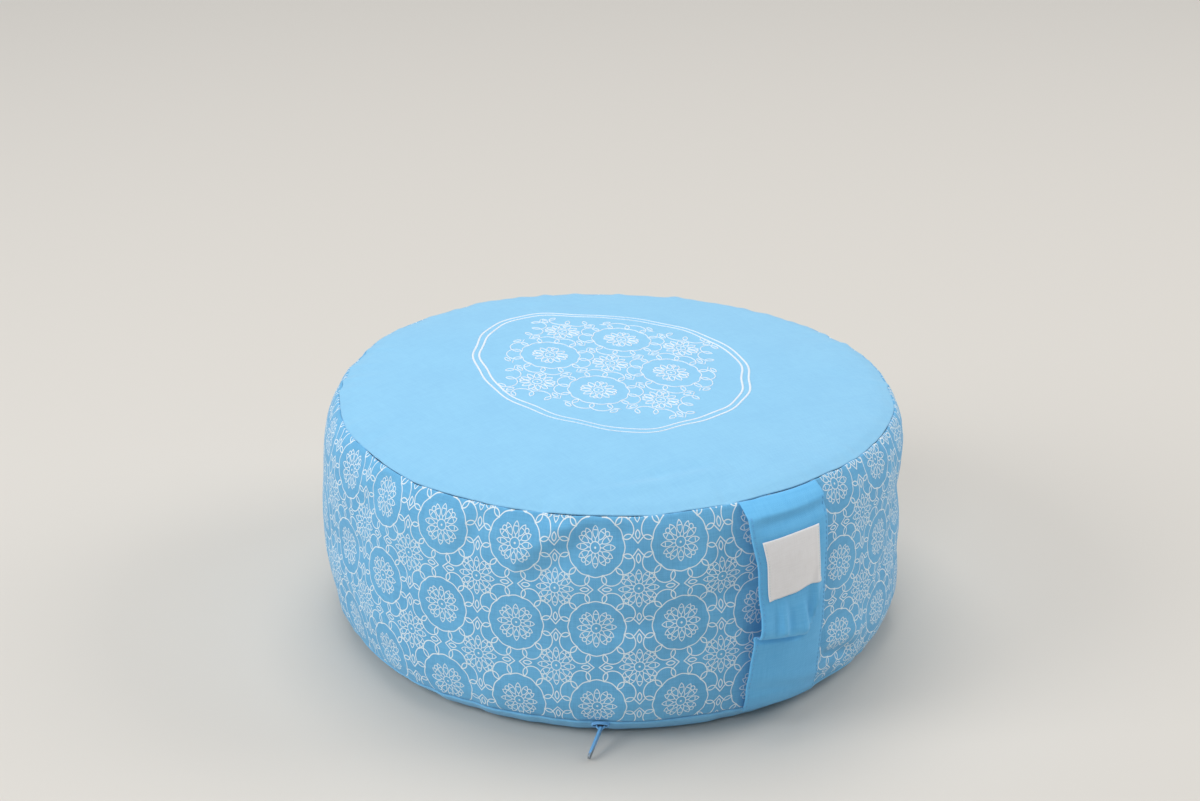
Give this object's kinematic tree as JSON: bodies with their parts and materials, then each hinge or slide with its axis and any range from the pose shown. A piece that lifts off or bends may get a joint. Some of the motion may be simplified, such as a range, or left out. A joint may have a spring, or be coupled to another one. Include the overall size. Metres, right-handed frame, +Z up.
{
  "type": "zafu meditation cushion",
  "caption": "Round firm meditation cushion with a crowned top panel, patterned side band, flat base, zip and a carry strap standing off the side.",
  "frame": {"origin": "centre of the flat base, on the surface that the cushion stands on", "axes": "+Z up, -Y towards the carry strap, +X to the right when facing the strap"},
  "size_m": [0.3501, 0.3644, 0.153],
  "materials": {
    "printed_cotton": "plain-woven cotton, off-white rosette print on blue",
    "blue_cotton": "plain-woven cotton, sky blue, matt",
    "strap_cotton": "doubled plain cotton, topstitched along both edges",
    "label_satin": "woven satin, off-white",
    "painted_zinc": "light-blue enamel, worn at the pull's end"
  },
  "bodies": {
    "root": {"cushion": "printed_cotton", "top_panel": "blue_cotton", "bottom_panel": "blue_cotton", "handle_strap": "strap_cotton", "woven_label": "label_satin", "zip_slider": "painted_zinc", "zip_pull": "painted_zinc"}
  },
  "joints": []
}
